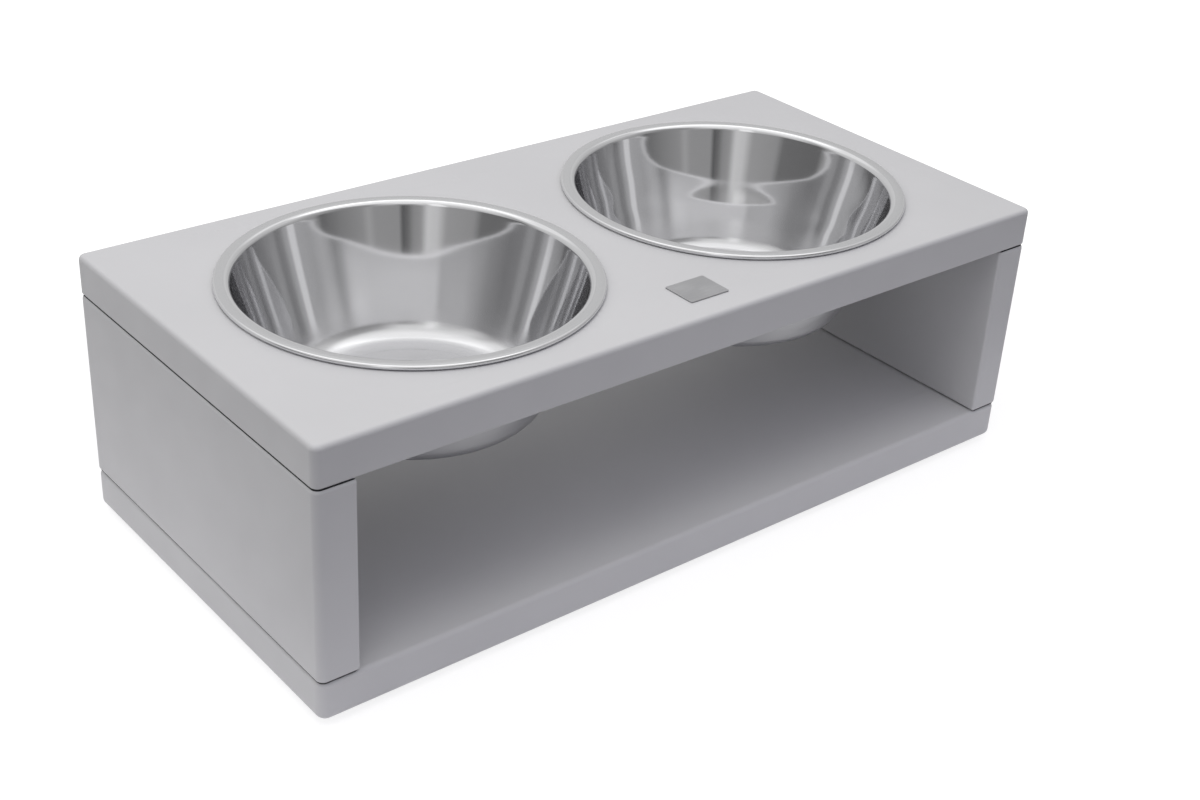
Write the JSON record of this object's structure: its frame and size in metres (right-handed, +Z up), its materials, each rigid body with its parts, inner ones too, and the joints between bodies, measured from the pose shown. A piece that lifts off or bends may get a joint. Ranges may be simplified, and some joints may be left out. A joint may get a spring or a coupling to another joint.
{
  "type": "raised pet feeder",
  "caption": "Low painted board stand with open through shelf and drop-in stainless steel bowls that lift out, for feeding a small dog at a raised height.",
  "frame": {"origin": "on the floor, under the middle of the stand", "axes": "+X along the stand to the right, -Y to the front, +Z up"},
  "size_m": [0.39, 0.19, 0.1279],
  "materials": {
    "board_lacquer": "fibreboard with a matt light grey lacquer on every face",
    "bowl_steel": "pressed stainless steel, polished inside, satin on the rim and underneath",
    "plate_metal": "thin plain plate with a fine brushed face",
    "beech": "plain fluted beech, hidden in the joints",
    "screw_zinc": "bright zinc",
    "foot_rubber": "soft matt rubber"
  },
  "bodies": {
    "stand": {"top_board": "board_lacquer", "base_board": "board_lacquer", "left_side_board": "board_lacquer", "right_side_board": "board_lacquer", "trim_plate": "plate_metal", "left_dowel_1": "beech", "left_dowel_2": "beech", "left_dowel_3": "beech", "right_dowel_1": "beech", "right_dowel_2": "beech", "right_dowel_3": "beech", "left_screw_1": "screw_zinc", "left_screw_2": "screw_zinc", "left_screw_3": "screw_zinc", "right_screw_1": "screw_zinc", "right_screw_2": "screw_zinc", "right_screw_3": "screw_zinc", "front_left_foot": "foot_rubber", "rear_left_foot": "foot_rubber", "front_right_foot": "foot_rubber", "rear_right_foot": "foot_rubber"},
    "left_bowl": {"left_bowl": "bowl_steel"},
    "right_bowl": {"right_bowl": "bowl_steel"}
  },
  "joints": [
    {"name": "left_bowl_lift", "type": "slide", "parent": "stand", "child": "left_bowl", "axis": [0, 0, 1], "range_m": [0, 0.075]},
    {"name": "right_bowl_lift", "type": "slide", "parent": "stand", "child": "right_bowl", "axis": [0, 0, 1], "range_m": [0, 0.075]}
  ]
}
